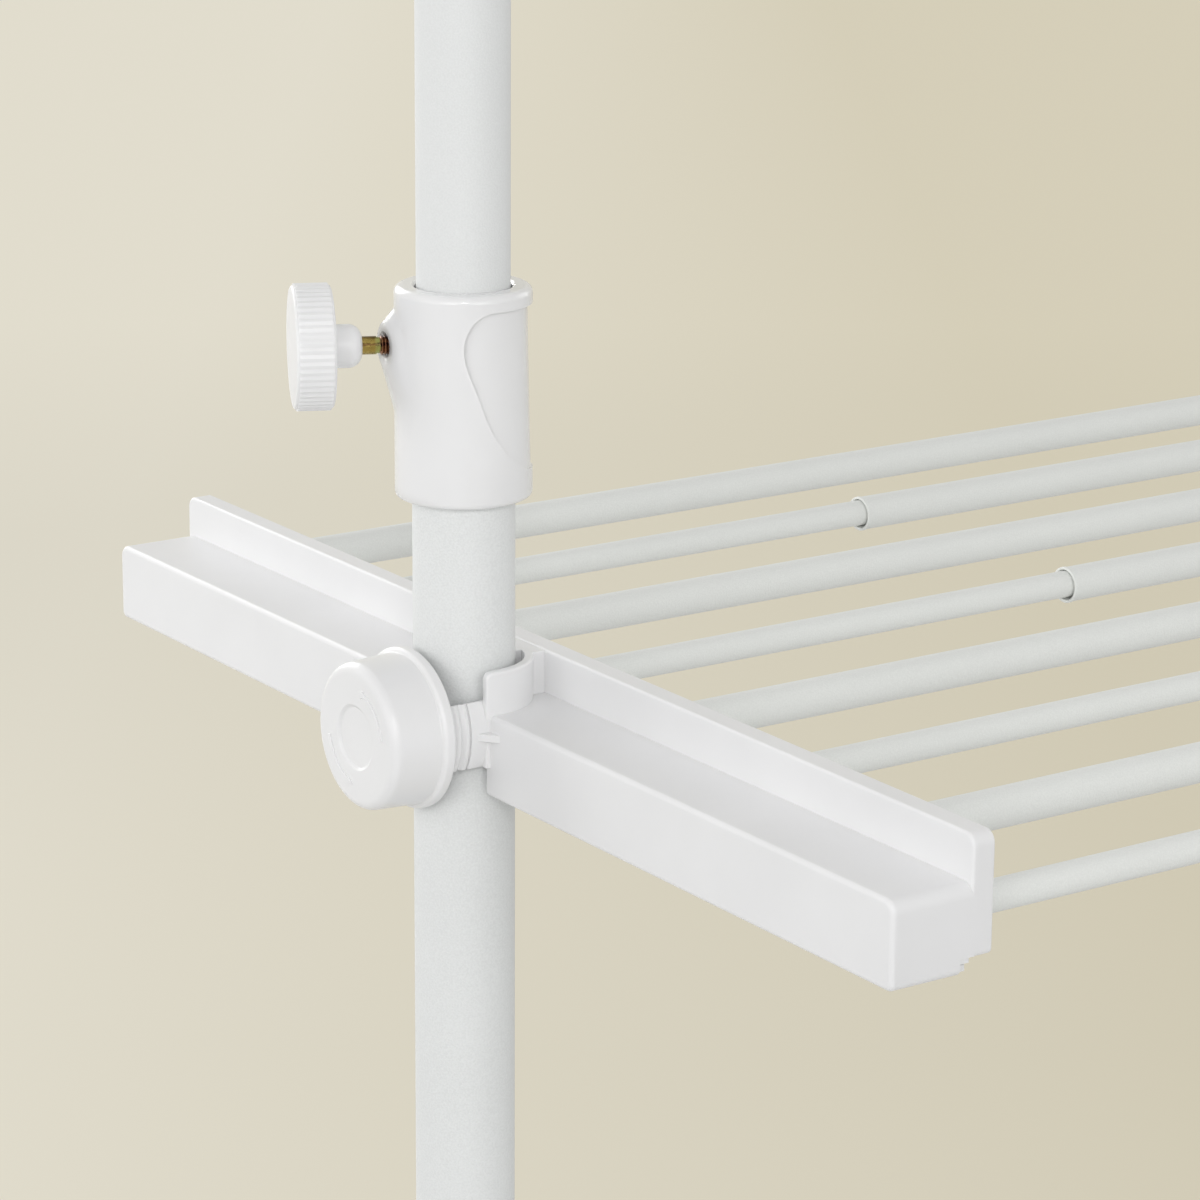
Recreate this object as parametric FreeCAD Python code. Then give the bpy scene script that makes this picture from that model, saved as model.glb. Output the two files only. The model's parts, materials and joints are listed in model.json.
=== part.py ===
import FreeCAD, Part
import math
import os
from FreeCAD import Placement, Rotation, Vector

# Adjustable clothes rack: two telescoping poles between floor and ceiling, one slatted shelf that
# telescopes in width, and one hanging rail. All sizes in millimetres, +Z up, origin on the floor
# midway between the poles, +X along the shelf. Each side is made once, with its pole on the Z axis
# and the rack's middle towards +X. The right side is the left one turned by half a turn.

# Poles
pole_spacing = 900.0
lower_pole_d = 32.0
lower_pole_wall = 1.2
lower_pole_length = 1400.0
upper_pole_wall = 1.2
upper_pole_length = 1200.0
pole_slip = 0.3
pole_overlap = 306.0

# Foot
sole_d = 80.0
sole_thickness = 4.0
sole_recess = 2.0
sole_fit = 0.15
sole_edge = 0.8
foot_rim = 3.0
foot_flange_thickness = 7.0
foot_flange_round = 2.5
foot_cone_rise = 3.2
foot_flare = 10.0
foot_floor = 4.0
foot_socket_wall = 3.4
foot_socket_depth = 38.0
foot_mouth_round = 1.5
foot_mouth_ease = 0.6
foot_fit = 0.15

# Collar on top of the lower pole
collar_wall = 5.15
collar_height = 66.2
collar_grip = 33.7
collar_fit = 0.15
collar_guide_gap = 0.6
collar_top_round = 2.4
collar_bottom_round = 1.8
collar_mouth = 0.8
collar_lip = 5.3
panel_depth_top = 1.7
panel_depth_bottom = 0.6
panel_foot = 9.0
panel_top_reach = 72.0
panel_corner_reach = 86.0
panel_corner_drop = 2.1
panel_side_reach = 96.0
panel_side_drop = 8.5
panel_waist_reach = 86.0
panel_waist_drop = 25.0
panel_knee_reach = 69.5
panel_knee_rise = 12.7
panel_toe_reach = 44.0
panel_toe_rise = 3.4
panel_overlap = 2.0

# Thumb screw, its nut and its shoe
thumb_turn = 25.0
thumb_height = 47.8
boss_length = 3.1
boss_turn = 16.0
boss_face_r = 6.6
boss_rise = 11.0
boss_fall = 19.8
boss_round = 1.2
mouth_d = 8.3
stud_d = 6.0
stud_pitch = 1.0
stud_thread_depth = 0.5
stud_thread_show = 1.3
stud_groove_length = 1.2
stud_groove_depth = 0.5
stud_shank_length = 4.4
stud_in_knob = 16.0
stud_shank_d = 5.6
stud_fit = 0.05
nut_flats = 10.0
nut_thickness = 4.3
nut_fit = 0.1
nut_cover = 2.2
nut_clearance = 0.25
shoe_d = 9.0
shoe_thickness = 1.2
shoe_gap = 0.1
hub_d = 13.4
hub_length = 9.2
hub_round = 4.2
thumb_knob_d = 39.0
thumb_knob_thickness = 12.2
thumb_knob_crown = 0.6
thumb_knob_round = 0.9
thumb_ridges = 54
thumb_ridge_depth = 0.28

# Shelf end beam
shelf_drop = 65.8
beam_length = 445.4
beam_depth = 26.6
pole_stand_out = 12.2
saddle_gap = 3.0
saddle_wall = 2.7
saddle_height = 13.8
saddle_front = 1.4
saddle_round = 2.4
saddle_edge = 0.8
seat_gap = 0.3
seat_width = 9.0
bridge_length = 2.2
bridge_width = 19.0
wall_thickness = 7.9
wall_height = 14.1
wall_drop = 22.0
beam_corner = 4.0
beam_foot_round = 2.4
wall_foot_round = 1.6
beam_edge = 1.6
wall_edge = 1.0
beam_skin = 2.2
beam_foot_lip = 1.5
notch_width = 3.5
notch_height = 5.1
notch_depth = 5.0
tab_fit = 0.25
tab_inset = 0.5
tongue_thickness = 1.4
tongue_riser = 1.6
cover_thickness = 2.0
cover_inset = 0.4
cover_fit = 0.15
gusset_reach = 5.3
gusset_rise = 4.6
gusset_thickness = 2.2

# Shelf tubes
tube_count = 8
tube_pitch = 59.86
tube_drop = 11.45
outer_tube_d = 12.5
outer_tube_wall = 0.8
inner_tube_d = 9.5
inner_tube_wall = 0.8
inner_tube_rise = 0.4
outer_tube_length = 620.5
inner_tube_length = 620.0
tube_socket = 23.8
tube_fit = 0.08
socket_block = 16.0
mouth_lip = 0.25
mouth_lip_length = 1.6
tip_length = 14.0
tip_flange = 2.0
tip_slip = 0.25
tip_round = 0.5

# Clamp knob, its arms and its pressure pad, on the shelf and on the rail
knob_drop = 6.3
arm_height = 21.2
arm_gap = 1.5
arm_thickness = 3.7
arm_plain = 6.6
arm_end_gap = 1.5
thread_pitch = 3.0
thread_depth = 0.9
thread_clearance = 0.3
knob_gap = 2.5
knob_length = 21.5
knob_front_wall = 3.0
knob_wall = 1.7
knob_draft = 0.8
knob_flange = 1.5
knob_flange_thickness = 4.0
knob_flange_round = 1.4
knob_step = 0.4
knob_step_round = 0.6
knob_round = 3.2
dish_d = 21.0
dish_depth = 0.8
dish_slope = 1.0
dish_round = 0.6
mark_r = 15.6
mark_width = 1.5
mark_height = 0.4
mark_sweep = 62.0
mark_head = 3.2
mark_starts = (100.0, 280.0)
pad_r = 13.5
pad_gap = 0.1

# Hanging rail
rail_drop = 250.0
rail_outer_d = 25.0
rail_inner_d = 22.4
rail_wall = 1.0
rail_outer_length = 570.0
rail_inner_length = 604.0
rail_socket = 20.0
rail_socket_wall = 3.2
rail_fit = 0.1
bracket_height = 30.0
bracket_width = 52.0
bracket_back_wall = 4.0
bracket_round = 4.0

# Ceiling jack at the top of the upper pole
plug_flange_d = 36.0
plug_flange_thickness = 6.0
plug_depth = 34.0
plug_fit = 0.1
plug_round = 2.0
plug_edge = 1.0
jack_stem_d = 18.0
jack_pitch = 3.0
jack_thread_depth = 0.8
jack_stem_length = 52.0
jack_show = 14.0
jack_clearance = 0.3
wheel_d = 48.0
wheel_thickness = 14.0
wheel_round = 2.5
wheel_ridges = 30
wheel_ridge_depth = 0.9
spigot_d = 14.0
spigot_length = 6.0
spigot_clearance = 0.2
spigot_edge = 1.0
cup_d = 80.0
cup_thickness = 11.0
cup_crown_d = 40.0
cup_round = 2.0
cup_rim = 6.0
cup_edge = 1.0
cup_gap = 0.3
ceiling_pad_d = 72.0
ceiling_pad_thickness = 4.0
ceiling_pad_recess = 2.0
ceiling_pad_fit = 0.15
ceiling_pad_edge = 0.8

# Threads: the share of the pitch that is flat crest
thread_crest = 0.3

# How far a cut runs past the face that it opens, and how exactly places are compared
cut_over = 1.0
same_place = 1e-6

# Radii and places that follow from the driving dimensions
lower_pole_r = lower_pole_d / 2
upper_pole_r = lower_pole_r - lower_pole_wall - pole_slip
foot_bottom = sole_thickness - sole_recess
lower_pole_bottom = sole_thickness + foot_floor
lower_pole_top = lower_pole_bottom + lower_pole_length
upper_pole_bottom = lower_pole_top - pole_overlap
upper_pole_top = upper_pole_bottom + upper_pole_length
collar_r = lower_pole_r + collar_fit + collar_wall
collar_bottom = lower_pole_top - collar_grip
collar_top = collar_bottom + collar_height
guide_r = upper_pole_r + collar_guide_gap
thumb_z = collar_bottom + thumb_height
boss_face = collar_r + boss_length
stud_tip = upper_pole_r + shoe_gap + shoe_thickness + shoe_gap
hub_face = boss_face + stud_thread_show + stud_groove_length + stud_shank_length
ledge = collar_bottom - shelf_drop
tube_z = ledge - tube_drop
knob_z = ledge - knob_drop
rail_z = upper_pole_top - rail_drop
up = Vector(0, 0, 1)
outward = Vector(-1, 0, 0)
inward = Vector(1, 0, 0)
centre = Vector(0, 0, 0)
thumb_out = Rotation(up, -thumb_turn).multVec(outward)


def box(low, high):
    return Part.makeBox(high[0] - low[0], high[1] - low[1], high[2] - low[2], Vector(*low))


def tube(radius, wall, length, base, axis):
    outer = Part.makeCylinder(radius, length, base, axis)
    return outer.cut(Part.makeCylinder(radius - wall, length, base, axis))


def rounded_wire(corners, to_point):
    """A closed wire through corners (u, v, radius), with a tangent arc where a corner has a radius."""
    edges = []
    ends = []
    for index, (u, v, radius) in enumerate(corners):
        here = Vector(u, v, 0)
        back = Vector(*corners[index - 1][:2], 0) - here
        ahead = Vector(*corners[(index + 1) % len(corners)][:2], 0) - here
        half = back.getAngle(ahead) / 2
        back.normalize()
        ahead.normalize()
        setback = radius / math.tan(half)
        first = here + back * setback
        last = here + ahead * setback
        ends.append((first, last))
        if radius > 0:
            bisector = back + ahead
            bisector.normalize()
            middle = here + bisector * (radius / math.sin(half) - radius)
            edges.append((first, middle, last))
    lines = []
    arcs = iter(edges)
    for index, (first, last) in enumerate(ends):
        if corners[index][2] > 0:
            points = [to_point(p.x, p.y) for p in next(arcs)]
            lines.append(Part.Arc(*points).toShape())
        start = to_point(last.x, last.y)
        following = ends[(index + 1) % len(ends)][0]
        stop = to_point(following.x, following.y)
        if start.distanceToPoint(stop) > same_place:
            lines.append(Part.LineSegment(start, stop).toShape())
    return Part.Wire(lines)


def revolved(corners):
    """A solid of revolution about Z from corners (radius, height, rounding)."""
    wire = rounded_wire(corners, lambda radius, height: Vector(radius, 0, height))
    return Part.Face(wire).revolve(centre, up, 360)


def plate_yz(half_width, bottom, top, foot_round, top_round, front, back):
    """A plate across X with rounded corners, seen along X."""
    corners = [(-half_width, bottom, foot_round), (half_width, bottom, foot_round),
               (half_width, top, top_round), (-half_width, top, top_round)]
    wire = rounded_wire(corners, lambda y, z: Vector(front, y, z))
    return Part.Face(wire).extrude(Vector(back - front, 0, 0))


def edges_at_x(shape, x):
    found = []
    for edge in shape.Edges:
        places = [vertex.X for vertex in edge.Vertexes] + [edge.CenterOfMass.x]
        if all(abs(place - x) < same_place for place in places):
            found.append(edge)
    return found


def aim(shape, direction, height):
    """Turns a piece made along Z so that it points along a level direction at a height."""
    turned = shape.copy()
    turned.Placement = Placement(Vector(0, 0, height), Rotation(up, direction))
    return turned


def ridged_rod(radius, depth, pitch, bottom, top):
    """A rod along Z with ring-shaped thread ridges."""
    count = max(1, round((top - bottom) / pitch))
    step = (top - bottom) / count
    flank = step * (1 - thread_crest) / 2
    corners = [(0, bottom, 0), (radius - depth, bottom, 0)]
    for turn in range(count):
        base = bottom + turn * step
        corners.append((radius, base + flank, 0))
        corners.append((radius, base + step - flank, 0))
        corners.append((radius - depth, base + step, 0))
    corners.append((0, top, 0))
    return revolved(corners)


def ridged_wheel(radius, depth, count, rounding, bottom, top):
    """A wheel along Z with fine ridges round its rim, between two smooth rounded shoulders."""
    points = []
    count = round(count)
    for index in range(2 * count):
        reach = radius - depth * (index % 2)
        angle = math.pi * index / count
        points.append(Vector(reach * math.cos(angle), reach * math.sin(angle), bottom + rounding))
    rim = Part.Face(Part.makePolygon(points + points[:1])).extrude(Vector(0, 0, top - bottom - 2 * rounding))
    shoulder = radius - 2 * depth
    rear = revolved([(0, bottom, 0), (shoulder, bottom, rounding), (shoulder, bottom + rounding, 0),
                     (0, bottom + rounding, 0)])
    front = revolved([(0, top - rounding, 0), (shoulder, top - rounding, 0), (shoulder, top, rounding),
                      (0, top, 0)])
    return rim.fuse([rear, front])


def dome(radius, rise, base):
    """A low dome on Z, part of a ball."""
    ball_r = (radius ** 2 + rise ** 2) / (2 * rise)
    half_turn = math.asin(radius / ball_r) / 2
    top = base + rise
    middle = Vector(ball_r * math.sin(half_turn), 0, top - ball_r * (1 - math.cos(half_turn)))
    rim = Vector(radius, 0, base)
    arc = Part.Arc(rim, middle, Vector(0, 0, top)).toShape()
    axis = Part.LineSegment(Vector(0, 0, top), Vector(0, 0, base)).toShape()
    floor = Part.LineSegment(Vector(0, 0, base), rim).toShape()
    return Part.Face(Part.Wire([arc, axis, floor])).revolve(centre, up, 360)


# Foot: rubber sole and moulded cup
def foot_sole():
    radius = sole_d / 2
    return revolved([(0, 0, 0), (radius, 0, sole_edge), (radius, sole_thickness, 0), (0, sole_thickness, 0)])


def foot_cup():
    recess_r = sole_d / 2 + sole_fit
    flange_r = recess_r + foot_rim
    flange_top = foot_bottom + foot_flange_thickness
    bore_r = lower_pole_r + foot_fit
    neck_r = bore_r + foot_socket_wall
    top = lower_pole_bottom + foot_socket_depth
    return revolved([
        (0, sole_thickness, 0), (recess_r, sole_thickness, 0), (recess_r, foot_bottom, 0),
        (flange_r, foot_bottom, sole_edge), (flange_r, flange_top, foot_flange_round),
        (neck_r, flange_top + foot_cone_rise, foot_flare), (neck_r, top, foot_mouth_round),
        (bore_r, top, foot_mouth_ease), (bore_r, lower_pole_bottom, 0), (0, lower_pole_bottom, 0)])


# Poles
def lower_pole():
    return tube(lower_pole_r, lower_pole_wall, lower_pole_length, Vector(0, 0, lower_pole_bottom), up)


def upper_pole():
    return tube(upper_pole_r, upper_pole_wall, upper_pole_length, Vector(0, 0, upper_pole_bottom), up)


# Collar
def thumb_boss():
    """The boss runs from the collar's round side to a flat nose, and further down than up. The nose
    faces more to the front than the screw does."""
    reach = math.hypot(boss_face, boss_face_r)
    tangent = math.atan2(boss_face_r, boss_face) + math.acos(collar_r / reach)
    root = collar_r * math.cos(tangent)
    root_r = collar_r * math.sin(tangent)
    slope = (boss_face - root) / boss_length
    root_top = boss_face_r + (boss_rise - boss_face_r) * slope
    root_foot = boss_face_r + (boss_fall - boss_face_r) * slope
    root_centre = thumb_out * root + Vector(0, 0, thumb_z + (root_top - root_foot) / 2)
    face_centre = thumb_out * boss_face + Vector(0, 0, thumb_z)
    stretch = FreeCAD.Matrix()
    stretch.move(root_centre * -1)
    stretch.scale(1, 1, (root_top + root_foot) / 2 / root_r)
    stretch.move(root_centre)
    wide = Part.makeCircle(root_r, root_centre, thumb_out).transformGeometry(stretch)
    face_out = Rotation(up, boss_turn).multVec(thumb_out)
    narrow = Part.makeCircle(boss_face_r, face_centre, face_out)
    boss = Part.makeLoft([Part.Wire(wide.Edges), Part.Wire(narrow)], True, True)
    rim = [edge for edge in boss.Edges
           if edge.Closed and edge.CenterOfMass.distanceToPoint(face_centre) < same_place]
    boss = boss.makeFillet(boss_round, rim)
    height = collar_height - collar_top_round
    return boss.common(Part.makeCylinder(2 * collar_r, height, Vector(0, 0, collar_bottom), up))


def panel_outline(side):
    """Half of the sunk leaf panel opposite the boss, as a face square to the middle of that half."""
    middle = panel_side_reach / 2
    top = collar_top - collar_lip
    tilt = Rotation(up, side * middle)
    facing = tilt.multVec(thumb_out * -1)
    across = tilt.multVec(up.cross(thumb_out * -1)) * side

    def point(reach, height):
        return facing * (2 * collar_r) + across * (collar_r * math.sin(math.radians(reach - middle))) \
            + Vector(0, 0, height)

    foot = collar_bottom + panel_foot
    curve = Part.BSplineCurve()
    curve.interpolate([
        point(panel_top_reach, top),
        point(panel_corner_reach, top - panel_corner_drop),
        point(panel_side_reach, top - panel_side_drop),
        point(panel_waist_reach, top - panel_waist_drop),
        point(panel_knee_reach, foot + panel_knee_rise),
        point(panel_toe_reach, foot + panel_toe_rise),
        point(0, foot)])
    edges = [
        curve.toShape(),
        Part.LineSegment(point(0, foot), point(-panel_overlap, foot)).toShape(),
        Part.LineSegment(point(-panel_overlap, foot), point(-panel_overlap, top)).toShape(),
        Part.LineSegment(point(-panel_overlap, top), point(panel_top_reach, top)).toShape()]
    return Part.Face(Part.Wire(edges)).extrude(facing * (-2 * collar_r))


def panel_cutters():
    """What the leaf panel takes away, in two halves: a thin shell, deeper at the top than at the foot."""
    foot = collar_bottom + panel_foot
    top = collar_top - collar_lip
    base = Vector(0, 0, foot)
    core = Part.makeCone(collar_r - panel_depth_bottom, collar_r - panel_depth_top, top - foot, base, up)
    shell = Part.makeCylinder(2 * collar_r, top - foot, base, up).cut(core)
    return [shell.common(panel_outline(side)) for side in (1, -1)]


def collar():
    body = revolved([(0, collar_bottom, 0), (collar_r, collar_bottom, collar_bottom_round),
                     (collar_r, collar_top, collar_top_round), (0, collar_top, 0)])
    body = body.fuse(thumb_boss()).cut(panel_cutters())
    bore = revolved([(0, collar_bottom, 0), (lower_pole_r + collar_fit, collar_bottom, 0),
                     (lower_pole_r + collar_fit, lower_pole_top, 0), (guide_r, lower_pole_top, 0),
                     (guide_r, collar_top - collar_mouth, 0), (guide_r + collar_mouth, collar_top, 0),
                     (0, collar_top, 0)])
    pocket = hexagon(nut_flats + 2 * nut_fit, 0, boss_face - nut_cover)
    mouth = Part.makeCylinder(mouth_d / 2, boss_face + boss_face_r)
    return body.cut(bore).cut(aim(pocket, thumb_out, thumb_z)).cut(aim(mouth, thumb_out, thumb_z))


def hexagon(flats, bottom, top):
    corner_r = flats / math.sqrt(3)
    corner = Vector(corner_r, 0, bottom)
    points = [Rotation(up, 60 * turn).multVec(corner) for turn in range(7)]
    return Part.Face(Part.makePolygon(points)).extrude(Vector(0, 0, top - bottom))


def collar_nut():
    outer_face = boss_face - nut_cover
    nut = hexagon(nut_flats, outer_face - nut_thickness, outer_face)
    hole = Part.makeCylinder(stud_d / 2 + nut_clearance, boss_face)
    return aim(nut.cut(hole), thumb_out, thumb_z)


# Thumb screw
def clamp_shoe():
    inner = upper_pole_r + shoe_gap
    disc = aim(Part.makeCylinder(shoe_d / 2, inner + shoe_thickness), thumb_out, thumb_z)
    return disc.cut(Part.makeCylinder(inner, 2 * shoe_d, Vector(0, 0, thumb_z - shoe_d), up))


def thumb_stud():
    thread_end = boss_face + stud_thread_show
    groove_end = thread_end + stud_groove_length
    thread = ridged_rod(stud_d / 2, stud_thread_depth, stud_pitch, stud_tip, thread_end)
    groove_r = stud_d / 2 - stud_groove_depth
    groove = Part.makeCylinder(groove_r, stud_groove_length, Vector(0, 0, thread_end), up)
    shank_length = hub_face + stud_in_knob - groove_end
    shank = Part.makeCylinder(stud_shank_d / 2, shank_length, Vector(0, 0, groove_end), up)
    return aim(thread.fuse(groove).fuse(shank).removeSplitter(), thumb_out, thumb_z)


def thumb_knob():
    back = hub_face + hub_length
    rim = back + thumb_knob_thickness
    radius = thumb_knob_d / 2
    face_r = radius - 2 * thumb_ridge_depth - thumb_knob_round
    disc = ridged_wheel(radius, thumb_ridge_depth, thumb_ridges, thumb_knob_round, back, rim)
    crown = dome(face_r, thumb_knob_crown, rim)
    hub = revolved([(0, hub_face, 0), (hub_d / 2, hub_face, hub_round), (hub_d / 2, back, 0), (0, back, 0)])
    bore = Part.makeCylinder(stud_shank_d / 2 + stud_fit, stud_in_knob, Vector(0, 0, hub_face), up)
    return aim(disc.fuse([crown, hub]).cut(bore), thumb_out, thumb_z)


# Clamp on a pole: two threaded arms, a cap nut knob and a pressure pad, about a level axis at z 0
def clamp_arms(pole_r, root, face):
    """The two arms are slices of one rod, one on each side of the pole, plain near the root."""
    inner = pole_r + arm_gap
    radius = inner + arm_thickness
    end = pole_r + knob_gap + knob_length - knob_front_wall - arm_end_gap
    thread_start = face + arm_plain
    thread = ridged_rod(radius, thread_depth, thread_pitch, thread_start, end)
    plain = Part.makeCylinder(radius, thread_start - root, Vector(0, 0, root), up)
    rod = aim(thread.fuse(plain), outward, 0)
    arms = []
    for side in (-1, 1):
        low, high = sorted((side * inner, side * 2 * radius))
        arms.append(rod.common(box((-end, low, -arm_height / 2), (-root, high, arm_height / 2))))
    return arms


def turn_arrow(start, radius_at, face):
    """A raised curved arrow on the knob's face: an arc band with a pointed head."""
    half = mark_width / 2
    stop = start + mark_sweep
    head_turn = math.degrees(mark_head / radius_at)

    def at(radius, angle):
        turn = math.radians(angle)
        return Vector(radius * math.cos(turn), radius * math.sin(turn), face)

    middle = start + mark_sweep / 2
    outer, inner = radius_at + half, radius_at - half
    wire = Part.Wire([
        Part.Arc(at(outer, start), at(outer, middle), at(outer, stop)).toShape(),
        Part.LineSegment(at(outer, stop), at(outer + half, stop)).toShape(),
        Part.LineSegment(at(outer + half, stop), at(radius_at, stop + head_turn)).toShape(),
        Part.LineSegment(at(radius_at, stop + head_turn), at(inner - half, stop)).toShape(),
        Part.LineSegment(at(inner - half, stop), at(inner, stop)).toShape(),
        Part.Arc(at(inner, stop), at(inner, middle), at(inner, start)).toShape(),
        Part.LineSegment(at(inner, start), at(outer, start)).toShape()])
    return Part.Face(wire).extrude(Vector(0, 0, mark_height))


def clamp_knob(pole_r):
    rear = pole_r + knob_gap
    front = rear + knob_length
    bore_r = pole_r + arm_gap + arm_thickness + thread_clearance
    body_r = bore_r + knob_wall + knob_draft
    flange_r = body_r + knob_flange
    flange_top = rear + knob_flange_thickness
    cap = revolved([
        (0, rear, 0), (flange_r, rear, knob_flange_round), (flange_r, flange_top, knob_flange_round),
        (body_r, flange_top + knob_step, knob_step_round), (body_r - knob_draft, front, knob_round),
        (dish_d / 2, front, dish_round), (dish_d / 2 - dish_slope, front - dish_depth, dish_round),
        (0, front - dish_depth, 0)])
    cap = cap.cut(Part.makeCylinder(bore_r, knob_length - knob_front_wall, Vector(0, 0, rear), up))
    for start in mark_starts:
        cap = cap.fuse(turn_arrow(start, mark_r, front))
    return aim(cap.removeSplitter(), outward, 0)


def pressure_pad(pole_r):
    front = pole_r + knob_gap + knob_length - knob_front_wall - pad_gap
    slug = aim(Part.makeCylinder(pad_r, front), outward, 0)
    return slug.cut(Part.makeCylinder(pole_r + pad_gap, 4 * pad_r, Vector(0, 0, -2 * pad_r), up))


def saddle_slot(pole_r, bottom, top):
    """The round slot that takes the pole, less the narrow seat rib at its back."""
    radius = pole_r + saddle_gap
    slot = Part.makeCylinder(radius, top - bottom, Vector(0, 0, bottom), up)
    mouth = box((-2 * radius, -radius, bottom), (0, radius, top))
    seat = box((0, -seat_width / 2, bottom), (2 * radius, seat_width / 2, top))
    seat = seat.cut(Part.makeCylinder(pole_r + seat_gap, top - bottom, Vector(0, 0, bottom), up))
    return slot.fuse(mouth).cut(seat)


# Shelf end beam
beam_front = pole_stand_out - lower_pole_r
wall_front = lower_pole_r + saddle_gap + saddle_wall + bridge_length
wall_back = wall_front + wall_thickness
beam_back = wall_front + beam_foot_lip
beam_bottom = ledge - beam_depth
cover_top = beam_bottom + cover_inset + cover_thickness
recess_end = beam_length / 2 - beam_skin
tube_socket_end = wall_back - tube_socket


def tube_y(index):
    """Tubes are counted from the back of the shelf."""
    return tube_pitch * ((tube_count - 1) / 2 - index)


def is_outer(index):
    return index % 2 == 0


def tube_radius(index):
    return (outer_tube_d if is_outer(index) else inner_tube_d) / 2


def tube_axis_z(index):
    """The inner tubes lie near the top of the outer tubes that they run in."""
    return tube_z if is_outer(index) else tube_z + inner_tube_rise


recess_start = tube_y(tube_count // 2 - 1) + socket_block / 2


def beam_shell():
    half = beam_length / 2
    trough = plate_yz(half, beam_bottom, ledge, beam_foot_round, beam_corner, beam_front, beam_back)
    trough = trough.makeFillet(beam_edge, edges_at_x(trough, beam_front))
    wall_top = ledge + wall_height
    wall = plate_yz(half, ledge - wall_drop, wall_top, wall_foot_round, beam_corner, wall_front, wall_back)
    wall = wall.makeFillet(wall_edge, edges_at_x(wall, wall_front) + edges_at_x(wall, wall_back))
    return trough.fuse(wall)


def saddle():
    """The raised half ring round the pole and the bridge that ties it to the tall wall."""
    outer_r = lower_pole_r + saddle_gap + saddle_wall
    front = beam_front - saddle_front
    top = ledge + saddle_height
    ring = Part.makeCylinder(outer_r, top - beam_bottom, Vector(0, 0, beam_bottom), up)
    ring = ring.common(box((front, -outer_r, ledge - arm_height / 2 - knob_drop), (outer_r, outer_r, top)))
    front_top = [edge for edge in edges_at_x(ring, front) if abs(edge.CenterOfMass.z - top) < same_place]
    ring = ring.makeFillet(saddle_round, front_top)
    ring_top = [edge for edge in ring.Edges if abs(edge.BoundBox.ZMin - top) < same_place
                and abs(edge.BoundBox.ZMax - top) < same_place and edge.BoundBox.XMax > lower_pole_r]
    ring = ring.makeFillet(saddle_edge, ring_top)
    bridge = box((0, -bridge_width / 2, ledge - wall_drop), (wall_front + wall_edge, bridge_width / 2, top))
    return ring.fuse(bridge)


def gussets():
    """Small level ribs between each arm and the beam's outer face."""
    arm_side = lower_pole_r + arm_gap + arm_thickness
    z = knob_z - gusset_thickness / 2
    ribs = []
    for side in (-1, 1):
        root = side * (arm_side - arm_thickness / 2)
        points = [Vector(beam_front + beam_edge, root, z), Vector(beam_front - gusset_rise, root, z),
                  Vector(beam_front - gusset_rise, side * arm_side, z),
                  Vector(beam_front, side * (arm_side + gusset_reach), z),
                  Vector(beam_front + beam_edge, side * (arm_side + gusset_reach), z)]
        ribs.append(Part.Face(Part.makePolygon(points + points[:1])).extrude(Vector(0, 0, gusset_thickness)))
    return ribs


def cover_recesses():
    """Shallow recesses for the two covers, and the deep pockets between the tube sockets."""
    cuts = []
    pocket_top = ledge - beam_skin
    front = beam_front + beam_skin
    for side in (-1, 1):
        low, high = sorted((side * recess_start, side * recess_end))
        cuts.append(box((front, low, beam_bottom), (wall_front, high, cover_top)))
        low, high = sorted((side * (beam_length / 2 - notch_depth), side * beam_length / 2))
        notch_top = beam_bottom + notch_height
        cuts.append(box((wall_front - notch_width, low, beam_bottom), (beam_back, high, notch_top)))
    for index in range(tube_count - 1):
        high = tube_y(index) - socket_block / 2
        low = tube_y(index + 1) + socket_block / 2
        if low * high > 0:
            cuts.append(box((front, low, cover_top), (wall_front, high, pocket_top)))
    return cuts


def tube_bores():
    bores = []
    for index in range(tube_count):
        base = Vector(tube_socket_end, tube_y(index), tube_axis_z(index))
        bores.append(Part.makeCylinder(tube_radius(index) + tube_fit, tube_socket + wall_edge, base, inward))
    return bores


def shelf_beam():
    beam = beam_shell().fuse([saddle()])
    beam = beam.cut(saddle_slot(lower_pole_r, beam_bottom - cut_over, ledge + wall_height + cut_over))
    arms = clamp_arms(lower_pole_r, -beam_front - beam_edge, -beam_front)
    for arm in arms:
        arm.translate(Vector(0, 0, knob_z))
    beam = beam.fuse(arms + gussets()).removeSplitter()
    return beam.cut(cover_recesses() + tube_bores())


def beam_covers():
    """Two plates that close the beam's underside, each with a thin tongue in the notch at the beam's end."""
    covers = []
    tab_end = beam_length / 2 - tab_inset
    tab_front = wall_front - notch_width + tab_fit
    tab_top = beam_bottom + notch_height - tab_fit
    for side in (-1, 1):
        low, high = sorted((side * (recess_start + cover_fit), side * (recess_end - cover_fit)))
        plate = box((beam_front + beam_skin + cover_fit, low, beam_bottom + cover_inset),
                    (wall_front - cover_fit, high, cover_top))
        tab_start = beam_length / 2 - notch_depth + tab_fit
        low, high = sorted((side * tab_start, side * tab_end))
        tongue = box((tab_front, low, tab_top - tongue_thickness), (wall_front - cover_fit, high, tab_top))
        low, high = sorted((side * tab_start, side * (tab_start + tongue_riser)))
        riser_foot = cover_top - cover_thickness / 2
        riser = box((tab_front, low, riser_foot), (wall_front - cover_fit, high, tab_top))
        covers.append(plate.fuse([riser, tongue]).removeSplitter())
    return Part.Compound(covers)


# Shelf tubes
def along_x(shape, y, z):
    """Lays a piece made along Z along X, at a place across the shelf and a height."""
    laid = shape.copy()
    laid.Placement = Placement(Vector(0, y, z), Rotation(up, inward))
    return laid


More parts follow.
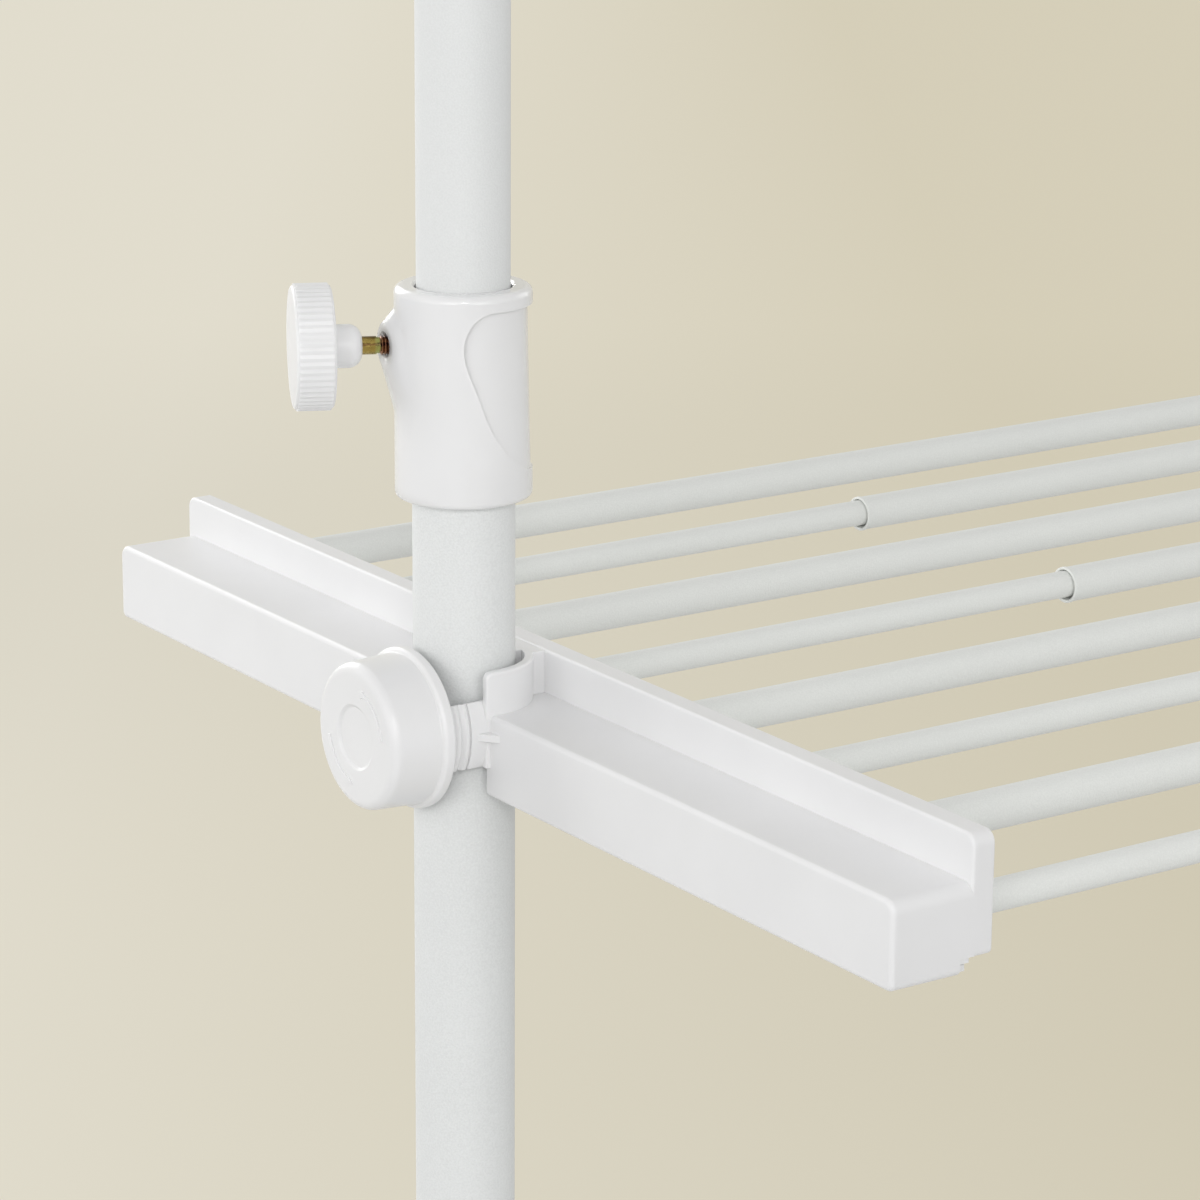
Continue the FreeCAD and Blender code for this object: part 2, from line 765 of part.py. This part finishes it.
def outer_tube():
    """A wide tube along Z with a fully rounded lip at its open mouth."""
    radius = outer_tube_d / 2
    bore_r = radius - outer_tube_wall
    lip_round = (outer_tube_wall + mouth_lip) / 2
    end = tube_socket_end + outer_tube_length
    lip_start = end - mouth_lip_length
    return revolved([
        (bore_r, tube_socket_end, 0), (radius, tube_socket_end, 0), (radius, lip_start, 0),
        (radius + mouth_lip, lip_start + mouth_lip, 0), (radius + mouth_lip, end, lip_round),
        (bore_r, end, lip_round)])


def shelf_tube(index):
    if is_outer(index):
        return along_x(outer_tube(), tube_y(index), tube_axis_z(index))
    base = Vector(tube_socket_end, tube_y(index), tube_axis_z(index))
    return tube(tube_radius(index), inner_tube_wall, inner_tube_length, base, inward)


def tube_tips():
    """Moulded tips on the far ends of the inner tubes, which run inside the outer tubes."""
    run_r = outer_tube_d / 2 - outer_tube_wall - tip_slip
    stem_r = inner_tube_d / 2 - inner_tube_wall - tube_fit
    start = tube_socket_end + inner_tube_length - tip_length
    end = tube_socket_end + inner_tube_length
    runner_end = end + tip_flange
    stem = revolved([(0, start, 0), (stem_r, start, tip_round), (stem_r, end, 0), (0, end, 0)])
    runner = revolved([(0, end, 0), (run_r, end, 0), (run_r, runner_end, tip_round), (0, runner_end, 0)])
    tips = []
    for index in range(tube_count):
        if not is_outer(index):
            y = tube_y(index)
            tips.append(along_x(stem, y, tube_axis_z(index)).fuse(along_x(runner, y, tube_z)))
    return Part.Compound(tips)


# Hanging rail
bracket_front = pole_stand_out - upper_pole_r
bracket_back = upper_pole_r + saddle_gap + bracket_back_wall


def rail_bracket():
    half = bracket_width / 2
    rise = bracket_height / 2
    body = plate_yz(half, -rise, rise, bracket_round, bracket_round, bracket_front, bracket_back)
    body = body.makeFillet(beam_edge, edges_at_x(body, bracket_front) + edges_at_x(body, bracket_back))
    socket_r = rail_outer_d / 2 + rail_fit + rail_socket_wall
    socket_root = Vector(bracket_back - bracket_back_wall, 0, 0)
    socket = Part.makeCylinder(socket_r, rail_socket + bracket_back_wall, socket_root, inward)
    socket = socket.makeFillet(wall_edge, edges_at_x(socket, bracket_back + rail_socket))
    body = body.fuse(socket)
    body = body.cut(saddle_slot(upper_pole_r, -bracket_height, bracket_height))
    return body.fuse(clamp_arms(upper_pole_r, -bracket_front - beam_edge, -bracket_front)).removeSplitter()


def rail_end(radius, length):
    """A bracket with a socket for its tube, and the tube."""
    base = Vector(bracket_back, 0, 0)
    bore = Part.makeCylinder(radius + rail_fit, rail_socket + cut_over, base, inward)
    return rail_bracket().cut(bore), tube(radius, rail_wall, length, base, inward)


# Ceiling jack
plug_top = upper_pole_top + plug_flange_thickness
wheel_bottom = plug_top + jack_show
wheel_top = wheel_bottom + wheel_thickness
cup_bottom = wheel_top + cup_gap
cup_top = cup_bottom + cup_thickness


def top_plug():
    stem_r = upper_pole_r - upper_pole_wall - plug_fit
    flange_r = plug_flange_d / 2
    bottom = upper_pole_top - plug_depth
    plug = revolved([(0, bottom, 0), (stem_r, bottom, plug_edge), (stem_r, upper_pole_top, 0),
                     (flange_r, upper_pole_top, plug_edge), (flange_r, plug_top, plug_round),
                     (0, plug_top, 0)])
    bore = Part.makeCylinder(jack_stem_d / 2 + jack_clearance, plug_top - bottom, Vector(0, 0, bottom), up)
    return plug.cut(bore)


def jack_screw():
    radius = wheel_d / 2
    stem_bottom = wheel_bottom - jack_stem_length
    stem = ridged_rod(jack_stem_d / 2, jack_thread_depth, jack_pitch, stem_bottom, wheel_bottom)
    wheel = ridged_wheel(radius, wheel_ridge_depth, wheel_ridges, wheel_round, wheel_bottom, wheel_top)
    spigot = revolved([(0, wheel_top, 0), (spigot_d / 2, wheel_top, 0),
                       (spigot_d / 2, wheel_top + spigot_length, spigot_edge),
                       (0, wheel_top + spigot_length, 0)])
    return stem.fuse([wheel, spigot]).removeSplitter()


def ceiling_cup():
    recess_r = ceiling_pad_d / 2 + ceiling_pad_fit
    socket_r = spigot_d / 2 + spigot_clearance
    socket_top = wheel_top + spigot_length + cup_gap
    pad_seat = cup_top - ceiling_pad_recess
    return revolved([
        (0, socket_top, 0), (socket_r, socket_top, 0), (socket_r, cup_bottom, 0),
        (cup_crown_d / 2, cup_bottom, cup_round), (cup_d / 2, cup_top - cup_rim, cup_round),
        (cup_d / 2, cup_top, cup_edge), (recess_r, cup_top, 0), (recess_r, pad_seat, 0), (0, pad_seat, 0)])


def ceiling_pad():
    radius = ceiling_pad_d / 2
    bottom = cup_top - ceiling_pad_recess
    top = bottom + ceiling_pad_thickness
    return revolved([(0, bottom, 0), (radius, bottom, 0), (radius, top, ceiling_pad_edge), (0, top, 0)])


# The whole rack: each side's pieces, placed and written
def place(shape, side):
    moved = shape.copy()
    if side == "right":
        moved.rotate(centre, up, 180)
        moved.translate(Vector(pole_spacing / 2, 0, 0))
    else:
        moved.translate(Vector(-pole_spacing / 2, 0, 0))
    return moved


def lifted(shape, height):
    moved = shape.copy()
    moved.translate(Vector(0, 0, height))
    return moved


def pole_pieces():
    return {
        "foot_sole": foot_sole(), "foot_cup": foot_cup(), "lower_pole": lower_pole(), "collar": collar(),
        "collar_nut": collar_nut(), "clamp_shoe": clamp_shoe(), "thumb_stud": thumb_stud(),
        "thumb_knob": thumb_knob(), "upper_pole": upper_pole(), "top_plug": top_plug(),
        "jack_screw": jack_screw(), "ceiling_cup": ceiling_cup(), "ceiling_pad": ceiling_pad()}


def shelf_pieces():
    pieces = {
        "shelf_beam": shelf_beam(), "beam_covers": beam_covers(), "tube_tips": tube_tips(),
        "shelf_knob": lifted(clamp_knob(lower_pole_r), knob_z),
        "shelf_pad": lifted(pressure_pad(lower_pole_r), knob_z)}
    for index in range(tube_count):
        kind = "outer" if is_outer(index) else "inner"
        pieces["shelf_%s_tube_%d" % (kind, index + 1)] = shelf_tube(index)
    return pieces


def rail_pieces(side):
    if side == "left":
        bracket, rail = rail_end(rail_outer_d / 2, rail_outer_length)
        name = "rail_outer_tube"
    else:
        bracket, rail = rail_end(rail_inner_d / 2, rail_inner_length)
        name = "rail_inner_tube"
    return {
        "rail_bracket": lifted(bracket, rail_z), name: lifted(rail, rail_z),
        "rail_knob": lifted(clamp_knob(upper_pole_r), rail_z),
        "rail_pad": lifted(pressure_pad(upper_pole_r), rail_z)}


def main():
    os.makedirs("parts", exist_ok=True)
    shared = pole_pieces()
    shared.update(shelf_pieces())
    for side in ("left", "right"):
        pieces = dict(shared)
        pieces.update(rail_pieces(side))
        for name, shape in pieces.items():
            place(shape, side).exportStep("parts/%s_%s.step" % (side, name))


main()
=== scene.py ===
import json
import math
import bpy
from mathutils import Matrix, Vector


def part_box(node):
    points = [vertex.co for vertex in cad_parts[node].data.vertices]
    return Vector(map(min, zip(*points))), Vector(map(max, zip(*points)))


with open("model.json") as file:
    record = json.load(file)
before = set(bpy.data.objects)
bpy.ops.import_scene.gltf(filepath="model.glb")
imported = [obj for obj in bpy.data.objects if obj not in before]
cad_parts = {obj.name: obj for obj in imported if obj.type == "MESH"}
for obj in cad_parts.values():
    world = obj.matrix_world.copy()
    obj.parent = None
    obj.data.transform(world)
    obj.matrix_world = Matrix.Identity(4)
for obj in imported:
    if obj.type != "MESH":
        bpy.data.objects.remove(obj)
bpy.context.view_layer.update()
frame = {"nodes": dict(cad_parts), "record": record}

# Places in metres: the left pole's axis and the left stud from the frame, and the height of the shelf's ledge
pole_low, pole_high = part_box("left_lower_pole")
pole_axis_x = (pole_low.x + pole_high.x) / 2
ledge_z = 1.3085
ledge_centre = Vector((pole_axis_x, 0, ledge_z))
stud_low, stud_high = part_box("left_thumb_stud")
stud_x = (stud_low.x + stud_high.x) / 2
stud_y = (stud_low.y + stud_high.y) / 2
stud_z = (stud_low.z + stud_high.z) / 2
stud_out = Vector((stud_x - pole_axis_x, stud_y, 0)).normalized()
mm_per_m = 1000.0

# Camera, fitted to the photograph: place from the left pole's axis at the ledge, and turns
camera_offset = Vector((-0.664412, -1.050049, 0.382529))
camera_azimuth = math.radians(-34.279)
camera_elevation = math.radians(15.763)
camera_roll = math.radians(0.396)
camera_reach = 200
focal_pixels = 4138.739
image_pixels = 1200
sensor_mm = 36.0


def make_camera():
    data = bpy.data.cameras.new("camera")
    data.sensor_width = sensor_mm
    data.lens = focal_pixels / image_pixels * sensor_mm
    data.clip_end = camera_reach
    camera = bpy.data.objects.new("camera", data)
    bpy.context.scene.collection.objects.link(camera)
    back = Vector((math.sin(camera_azimuth) * math.cos(camera_elevation),
                   -math.cos(camera_azimuth) * math.cos(camera_elevation),
                   math.sin(camera_elevation)))
    right = Vector((0, 0, 1)).cross(back).normalized()
    up = back.cross(right)
    turned_right = right * math.cos(camera_roll) + up * math.sin(camera_roll)
    turned_up = up * math.cos(camera_roll) - right * math.sin(camera_roll)
    rotation = Matrix((turned_right, turned_up, back)).transposed()
    camera.matrix_world = Matrix.Translation(ledge_centre + camera_offset) @ rotation.to_4x4()
    bpy.context.scene.camera = camera


# Light: an even studio, and soft boxes by their place from the left pole's axis at the ledge, width and level
world_level = 0.530
soft_boxes = {
    "back_left": (Vector((-0.50, 0.75, 0.19)), 0.5, 0.270),
    "back": (Vector((0.00, 3.758, 1.368)), 2.4, 0.318),
    "left": (Vector((-2.934, 0.00, 0.624)), 1.8, 0.106),
    "front_left": (Vector((-2.373, -1.662, 0.777)), 1.8, 0.200),
    "front": (Vector((0.00, -3.864, 1.036)), 2.4, 0.144),
    "right": (Vector((3.864, 0.00, 1.036)), 2.4, 0.134),
    "key": (Vector((-0.725, -1.256, 0.676)), 0.25, 0.146),
}
unmirrored = ("back_left",)
backdrop = (0.69, 0.66, 0.545)


def make_soft_box(name, offset, width, level):
    """A round soft box that lights a white face turned to it, at the left ledge, to the given level."""
    data = bpy.data.lights.new(name, "AREA")
    data.shape = "DISK"
    data.size = width
    data.energy = level * (math.pi * offset.length) ** 2
    lamp = bpy.data.objects.new(name, data)
    lamp.location = ledge_centre + offset
    lamp.rotation_mode = "QUATERNION"
    lamp.rotation_quaternion = offset.to_track_quat("Z", "Y")
    lamp.visible_camera = False
    lamp.visible_glossy = name not in unmirrored
    bpy.context.scene.collection.objects.link(lamp)


def direct_ray(tree):
    """One where a surface is seen by the camera, in a mirror or through glass, and zero for its light."""
    path = tree.nodes.new("ShaderNodeLightPath")
    direct = path.outputs["Is Camera Ray"]
    for name in ("Is Glossy Ray", "Is Transmission Ray"):
        either = tree.nodes.new("ShaderNodeMath")
        either.operation = "MAXIMUM"
        tree.links.new(direct, either.inputs[0])
        tree.links.new(path.outputs[name], either.inputs[1])
        direct = either.outputs["Value"]
    return direct


def split_looks(tree, lit, seen, output_name):
    """Gives the output one shader where it is seen, and another where its light falls on other things."""
    mix = tree.nodes.new("ShaderNodeMixShader")
    tree.links.new(direct_ray(tree), mix.inputs["Fac"])
    tree.links.new(lit, mix.inputs[1])
    tree.links.new(seen, mix.inputs[2])
    tree.links.new(mix.outputs["Shader"], tree.nodes[output_name].inputs["Surface"])


def make_light():
    for name, (offset, width, level) in soft_boxes.items():
        make_soft_box(name, offset, width, level)
    world = bpy.data.worlds.new("studio")
    bpy.context.scene.world = world
    world.use_nodes = True
    tree = world.node_tree
    even = tree.nodes["Background"]
    even.inputs["Color"].default_value = (1, 1, 1, 1)
    even.inputs["Strength"].default_value = world_level
    seen = tree.nodes.new("ShaderNodeBackground")
    seen.inputs["Color"].default_value = (*backdrop, 1)
    split_looks(tree, even.outputs["Background"], seen.outputs["Background"], "World Output")


# Finishes: scales count noise cells to the metre, spans hold a least and a greatest value
powder_cloud_scale = 18.0
powder_grain_part = 0.75
powder_tone_span = (0.38, 0.62)
powder_roughness = (0.56, 0.74)
powder_bump = 0.8
powder_specular = 0.22
plastic_cloud_scale = 25.0
plastic_smear_scale = 90.0
plastic_grain_scale = 2200.0
plastic_tone_span = (0.3, 0.7)
plastic_tone_parts = (0.98, 1.01)
plastic_roughness_parts = (0.85, 1.15)
plastic_bump = 0.25
plastic_ior = 1.47
plastic_coat_roughness = 0.08
nut_scale = 300.0
nut_tone_span = (0.3, 0.7)
nut_tones = ((0.5, 0.5, 0.5), (0.62, 0.62, 0.6))
nut_roughness = 0.35
rubber_cloud_scale = 60.0
rubber_grain_scale = 1500.0
rubber_tone_span = (0.3, 0.7)
rubber_tones = ((0.30, 0.30, 0.29), (0.36, 0.36, 0.35))
rubber_grain_depth = 0.0002
rubber_bump = 0.4
rubber_roughness = 0.75

# The collar's boss blend: radius of the rounding, reach off the pole where it sets in, height where it fades
boss_blend_radius = 0.005
boss_blend_reach = (0.008, 0.014)
boss_blend_height = (0.009, 0.013)
boss_blend_rays = 8

# The stud's bands by their reach off the pole's axis, and its painted reflection by height on the stud: a
# dark streak along the stud between lighter bands
zinc_cloud_scale = 700.0
zinc_gloss_scale = 900.0
zinc_roughness = (0.18, 0.38)
zinc_band_span = (0.0200, 0.0310)
zinc_band_wander = 0.0003
zinc_bands = [(0.00, (0.26, 0.13, 0.08)), (0.52, (0.32, 0.17, 0.10)), (0.56, (0.38, 0.42, 0.15)),
              (0.66, (0.42, 0.39, 0.14)), (0.70, (0.38, 0.29, 0.09)), (1.00, (0.43, 0.33, 0.11))]
# Painted reflection: tone parts by height across the stud, a dark streak just above the middle between
# lighter bands, darker towards the top edge and a little towards the bottom
zinc_reflection_reach = 0.0030
zinc_reflection_wander = 0.0005
zinc_painted_reflection = [(0.00, (0.7, 0.7, 0.7)), (0.25, (1.0, 1.0, 1.0)), (0.52, (0.9, 0.9, 0.9)),
                (0.60, (0.22, 0.17, 0.2)), (0.67, (0.22, 0.17, 0.2)), (0.74, (1.0, 1.0, 1.0)),
                (0.86, (0.9, 0.9, 0.9)), (0.94, (0.3, 0.25, 0.25))]


class Nodes:
    """A material's node tree, with short calls for the nodes that the finishes share."""

    def __init__(self, name):
        self.material = bpy.data.materials.new(name)
        self.material.use_nodes = True
        self.tree = self.material.node_tree
        self.shader = self.tree.nodes["Principled BSDF"]
        self.place = self.tree.nodes.new("ShaderNodeTexCoord").outputs["Object"]

    def link(self, output, target):
        self.tree.links.new(output, target)

    def feed(self, name, output):
        self.link(output, self.shader.inputs[name])

    def set(self, name, value):
        self.shader.inputs[name].default_value = value

    def noise(self, scale, detail=2.0, roughness=0.5):
        node = self.tree.nodes.new("ShaderNodeTexNoise")
        node.inputs["Scale"].default_value = scale
        node.inputs["Detail"].default_value = detail
        node.inputs["Roughness"].default_value = roughness
        self.link(self.place, node.inputs["Vector"])
        return node.outputs["Fac"]

    def ramp(self, source, stops):
        node = self.tree.nodes.new("ShaderNodeValToRGB")
        elements = node.color_ramp.elements
        stops = list(stops)
        while len(elements) < len(stops):
            elements.new(0.5)
        for element, (position, colour) in zip(elements, stops):
            element.position = position
            element.color = (*colour, 1)
        self.link(source, node.inputs["Fac"])
        return node.outputs["Color"]

    def math(self, operation, *values):
        node = self.tree.nodes.new("ShaderNodeMath")
        node.operation = operation
        for value, socket in zip(values, node.inputs):
            if isinstance(value, float):
                socket.default_value = value
            else:
                self.link(value, socket)
        return node.outputs["Value"]

    def vector_math(self, operation, first):
        node = self.tree.nodes.new("ShaderNodeVectorMath")
        node.operation = operation
        self.link(first, node.inputs[0])
        return node

    def split(self, place):
        node = self.tree.nodes.new("ShaderNodeSeparateXYZ")
        self.link(place, node.inputs["Vector"])
        return node.outputs

    def span(self, source, low, high, least=0.0, most=1.0):
        """The source from least to most, brought to a span from low to high and kept inside it."""
        node = self.tree.nodes.new("ShaderNodeMapRange")
        node.inputs["From Min"].default_value = least
        node.inputs["From Max"].default_value = most
        node.inputs["To Min"].default_value = low
        node.inputs["To Max"].default_value = high
        self.link(source, node.inputs["Value"])
        return node.outputs["Result"]

    def bump(self, source, depth, strength, below=None):
        node = self.tree.nodes.new("ShaderNodeBump")
        node.inputs["Distance"].default_value = depth
        node.inputs["Strength"].default_value = strength
        self.link(source, node.inputs["Height"])
        if below:
            self.link(below, node.inputs["Normal"])
        return node.outputs["Normal"]


def powder_coat(name, colour, grain_mm, depth_mm, speckle):
    """Textured powder coat: an orange peel bump with pale crests, slight cloudiness and uneven gloss."""
    nodes = Nodes(name)
    tones = [[min(1.0, part * tone) for part in colour] for tone in (1 - speckle, 1 + speckle)]
    clouds = nodes.noise(powder_cloud_scale, detail=3.0)
    grain = nodes.noise(mm_per_m / grain_mm)
    mixed = nodes.math("ADD", nodes.math("MULTIPLY", grain, powder_grain_part),
                       nodes.math("MULTIPLY", clouds, 1.0 - powder_grain_part))
    nodes.feed("Base Color", nodes.ramp(mixed, zip(powder_tone_span, tones)))
    nodes.feed("Roughness", nodes.span(grain, *powder_roughness))
    nodes.feed("Normal", nodes.bump(grain, depth_mm / mm_per_m, powder_bump))
    nodes.set("Specular IOR Level", powder_specular)
    return nodes.material


def boss_blend(nodes):
    """The collar's surface direction, rounded where its screw boss runs out of the round side. The right
    collar is the left one turned by half a turn, so the side's sign turns the reach along the stud."""
    along = nodes.vector_math("DOT_PRODUCT", nodes.place)
    along.inputs[1].default_value = stud_out
    apart = nodes.split(nodes.place)
    side = nodes.math("SIGN", apart["X"])
    outward = nodes.math("SUBTRACT", -pole_axis_x * stud_out.x,
                         nodes.math("MULTIPLY", side, along.outputs["Value"]))
    near = nodes.span(outward, 0.0, boss_blend_radius, *boss_blend_reach)
    height = nodes.math("SUBTRACT", apart["Z"], stud_z)
    below = nodes.span(height, 1.0, 0.0, *boss_blend_height)
    bevel = nodes.tree.nodes.new("ShaderNodeBevel")
    bevel.samples = boss_blend_rays
    nodes.link(nodes.math("MULTIPLY", near, below), bevel.inputs["Radius"])
    return bevel.outputs["Normal"]


def moulded_plastic(name, colour, roughness, grain_depth_mm, coat, depth_mm, blend=None):
    """Moulded plastic: faint flow clouds, a very fine grain, slightly uneven gloss and a milky depth."""
    nodes = Nodes(name)
    tones = [[min(1.0, part * tone) for part in colour] for tone in plastic_tone_parts]
    clouds = nodes.noise(plastic_cloud_scale)
    nodes.feed("Base Color", nodes.ramp(clouds, zip(plastic_tone_span, tones)))
    smears = nodes.noise(plastic_smear_scale, detail=4.0)
    nodes.feed("Roughness", nodes.span(smears, *[roughness * part for part in plastic_roughness_parts]))
    grain = nodes.noise(plastic_grain_scale)
    below = blend(nodes) if blend else None
    nodes.feed("Normal", nodes.bump(grain, grain_depth_mm / mm_per_m, plastic_bump, below))
    nodes.set("IOR", plastic_ior)
    nodes.set("Coat Weight", coat)
    nodes.set("Coat Roughness", plastic_coat_roughness)
    nodes.set("Subsurface Weight", 1.0)
    nodes.set("Subsurface Radius", (1.0, 1.0, 1.0))
    nodes.set("Subsurface Scale", depth_mm / mm_per_m)
    return nodes.material


def yellow_zinc(name):
    """Yellow passivated zinc along a stud: brown thread, green groove and an olive gold shank, with a painted
    reflection laid across its height as a dark streak between lighter bands.
    """
    nodes = Nodes(name)
    apart = nodes.split(nodes.place)
    from_pole = nodes.math("SUBTRACT", nodes.math("ABSOLUTE", apart["X"]), abs(pole_axis_x))
    reach = nodes.math("SQRT", nodes.math("ADD", nodes.math("POWER", from_pole, 2.0),
                                          nodes.math("POWER", apart["Y"], 2.0)))
    cloud = nodes.noise(zinc_cloud_scale, detail=3.0, roughness=0.6)
    uneven = nodes.math("ADD", reach, nodes.span(cloud, -zinc_band_wander, zinc_band_wander))
    bands = nodes.ramp(nodes.span(uneven, 0.0, 1.0, *zinc_band_span), zinc_bands)
    # Painted reflection: the zinc bands are dimmed and lightened by height across the stud, giving a dark
    # streak along it
    height = nodes.math("SUBTRACT", apart["Z"], stud_z)
    reflection_height = nodes.math("ADD", height, nodes.span(cloud, -zinc_reflection_wander, zinc_reflection_wander))
    painted_reflection = nodes.ramp(nodes.span(reflection_height, 0.0, 1.0, -zinc_reflection_reach, zinc_reflection_reach), zinc_painted_reflection)
    dimmed = nodes.vector_math("MULTIPLY", bands)
    nodes.link(painted_reflection, dimmed.inputs[1])
    nodes.feed("Base Color", dimmed.outputs["Vector"])
    nodes.set("Metallic", 1.0)
    nodes.feed("Roughness", nodes.span(nodes.noise(zinc_gloss_scale), *zinc_roughness))
    return nodes.material


def nut_steel(name):
    """Bare steel of the nuts, slightly cloudy."""
    nodes = Nodes(name)
    nodes.feed("Base Color", nodes.ramp(nodes.noise(nut_scale), zip(nut_tone_span, nut_tones)))
    nodes.set("Metallic", 1.0)
    nodes.set("Roughness", nut_roughness)
    return nodes.material


def rubber(name):
    """Grey rubber of the soles and pads, cloudy and finely grained."""
    nodes = Nodes(name)
    nodes.feed("Base Color", nodes.ramp(nodes.noise(rubber_cloud_scale), zip(rubber_tone_span, rubber_tones)))
    nodes.feed("Normal", nodes.bump(nodes.noise(rubber_grain_scale), rubber_grain_depth, rubber_bump))
    nodes.set("Roughness", rubber_roughness)
    return nodes.material


gloss_finish = {"colour": (0.83, 0.83, 0.835), "roughness": 0.20, "grain_depth_mm": 0.01, "coat": 0.3,
                "depth_mm": 0.4}
clamp_white = moulded_plastic("clamp_plastic", (0.83, 0.83, 0.835), roughness=0.30, grain_depth_mm=0.02,
                              coat=0.1, depth_mm=0.4)
slot_material = {
    "powder_coat": powder_coat("tube_coat", (0.795, 0.808, 0.782), grain_mm=0.55, depth_mm=0.12,
                               speckle=0.025),
    "satin_plastic": moulded_plastic("satin_plastic", (0.82, 0.82, 0.825), roughness=0.40,
                                     grain_depth_mm=0.02, coat=0.0, depth_mm=0.4),
    "gloss_plastic": moulded_plastic("gloss_plastic", **gloss_finish),
    "knob_plastic": moulded_plastic("knob_plastic", (0.84, 0.84, 0.845), roughness=0.36,
                                    grain_depth_mm=0.02, coat=0.0, depth_mm=0.9),
    "yellow_zinc": yellow_zinc("yellow_zinc"),
    "nut_steel": nut_steel("nut_steel"),
    "rubber": rubber("rubber"),
}
piece_material = {
    "lower_pole": powder_coat("lower_coat", (0.755, 0.768, 0.764), grain_mm=0.65, depth_mm=0.20,
                              speckle=0.035),
    "upper_pole": powder_coat("upper_coat", (0.750, 0.761, 0.757), grain_mm=0.60, depth_mm=0.10,
                              speckle=0.022),
    "collar": moulded_plastic("collar_plastic", **gloss_finish, blend=boss_blend),
    "shelf_knob": clamp_white,
    "rail_knob": clamp_white,
}


def dress_nodes():
    """A piece of its own finish is looked up by its name without the side, the others by their slot."""
    for row in frame["record"]["subparts"]:
        name = row["node"]
        piece = name.split("_", 1)[1]
        material = piece_material.get(piece, slot_material[row["material_slot"]])
        mesh = frame["nodes"][name].data
        mesh.materials.clear()
        mesh.materials.append(material)


# Floor: its tone drifts along one line, over a band on each side of the line's middle, and its glow rises
# along the line square to that one
floor_size = 400.0
floor_turn = math.radians(-34.0)
floor_middle = -0.33
floor_band = 0.75
floor_left = (0.862, 0.822, 0.700)
floor_right = (0.760, 0.705, 0.550)
floor_share = 0.35
floor_glow = (0.545, 0.675)
floor_glow_span = (2.7, 6.5)
floor_roughness = 0.9
floor_specular = 0.1
floor_bounce = (0.72, 0.72, 0.71)


def make_floor():
    bpy.ops.mesh.primitive_plane_add(size=floor_size)
    floor = bpy.context.object
    floor.name = "floor"
    nodes = Nodes("floor")
    turn = nodes.tree.nodes.new("ShaderNodeMapping")
    turn.vector_type = "TEXTURE"
    turn.inputs["Rotation"].default_value = (0, 0, floor_turn)
    nodes.link(nodes.place, turn.inputs["Vector"])
    apart = nodes.split(turn.outputs["Vector"])
    drift = nodes.span(apart["X"], 0.0, 1.0, floor_middle - floor_band, floor_middle + floor_band)
    for socket, share in (("Base Color", floor_share), ("Emission Color", 1.0)):
        ends = [[part * share for part in colour] for colour in (floor_left, floor_right)]
        nodes.feed(socket, nodes.ramp(drift, zip((0.0, 1.0), ends)))
    nodes.feed("Emission Strength", nodes.span(apart["Y"], *floor_glow, *floor_glow_span))
    nodes.set("Roughness", floor_roughness)
    nodes.set("Specular IOR Level", floor_specular)
    even = nodes.tree.nodes.new("ShaderNodeBsdfDiffuse")
    even.inputs["Color"].default_value = (*floor_bounce, 1)
    split_looks(nodes.tree, even.outputs["BSDF"], nodes.shader.outputs["BSDF"], "Material Output")
    floor.data.materials.append(nodes.material)


make_camera()
make_light()
make_floor()
dress_nodes()
bpy.context.scene.view_settings.view_transform = "Standard"
